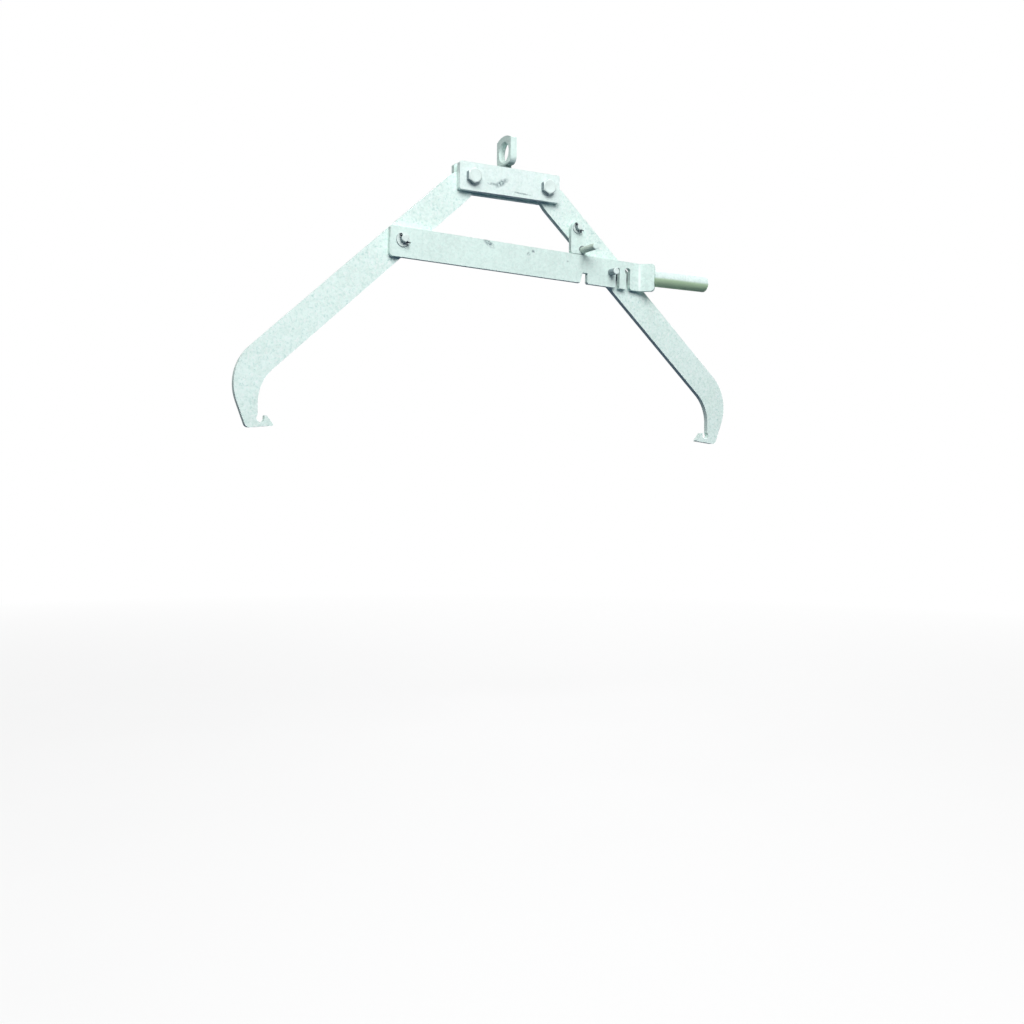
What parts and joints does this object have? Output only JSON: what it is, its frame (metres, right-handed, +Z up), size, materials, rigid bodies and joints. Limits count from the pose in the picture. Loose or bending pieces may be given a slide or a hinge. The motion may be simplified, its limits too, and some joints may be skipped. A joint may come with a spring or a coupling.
{
  "type": "drum lifter",
  "caption": "Galvanised drum lifter: hooked arms swing in a bolted yoke under a lifting eye, tied by a slotted lock bar with a tube handle and a swinging latch.",
  "frame": {"origin": "centre of the hole in the lifting eye", "axes": "+X across the lifter towards the handle, along the eye's hole; +Y from the front, where the lock bar is, to the back; +Z up"},
  "size_m": [0.956, 0.095, 0.519],
  "materials": {
    "galvanised_plate": "hot-dip galvanised, dull spangle",
    "galvanised_round": "hot-dip galvanised, smooth",
    "zinc_fastener": "zinc plated, satin",
    "weld_metal": "galvanised weld, rippled",
    "bush_steel": "turned",
    "split_pin_steel": "drawn wire"
  },
  "bodies": {
    "yoke": {"yoke_front_plate": "galvanised_plate", "yoke_rear_plate": "galvanised_plate", "lifting_eye": "galvanised_round", "eye_welds": "weld_metal", "left_yoke_bolt": "zinc_fastener", "right_yoke_bolt": "zinc_fastener", "yoke_washers": "zinc_fastener", "yoke_nuts": "zinc_fastener", "left_pivot_bush": "bush_steel", "right_pivot_bush": "bush_steel"},
    "left_arm": {"left_arm": "galvanised_plate", "bar_pivot_pin": "zinc_fastener", "bar_washers": "zinc_fastener", "bar_split_pin": "split_pin_steel"},
    "lock_bar": {"lock_bar": "galvanised_plate", "handle_tube": "galvanised_round", "handle_weld": "weld_metal"},
    "right_arm": {"right_arm": "galvanised_plate", "lock_pin": "zinc_fastener", "lock_pin_weld": "weld_metal", "latch_pivot_pin": "zinc_fastener", "latch_washers": "zinc_fastener", "latch_split_pin": "split_pin_steel"},
    "latch": {"latch_plate": "galvanised_plate", "latch_rod": "galvanised_round", "latch_rod_weld": "weld_metal"}
  },
  "joints": [
    {"name": "left_arm_swing", "type": "hinge", "parent": "yoke", "child": "left_arm", "pos_m": [-0.073, 0, -0.054], "axis": [0, 1, 0], "range_deg": [0, 3.6]},
    {"name": "right_arm_swing", "type": "hinge", "parent": "yoke", "child": "right_arm", "pos_m": [0.073, 0, -0.054], "axis": [0, -1, 0], "range_deg": [0, 3.6]},
    {"name": "lock_bar_tilt", "type": "hinge", "parent": "left_arm", "child": "lock_bar", "pos_m": [-0.2, 0, -0.174], "axis": [0, -1, 0], "range_deg": [0, 2.88]},
    {"name": "latch_swing", "type": "hinge", "parent": "right_arm", "child": "latch", "pos_m": [0.1365, 0, -0.117], "axis": [0, -1, 0], "range_deg": [0, 105]}
  ],
  "couplings": [
    {"joint": "right_arm_swing", "follows": "left_arm_swing", "ratio": 1},
    {"joint": "lock_bar_tilt", "follows": "left_arm_swing", "ratio": 0.8}
  ]
}
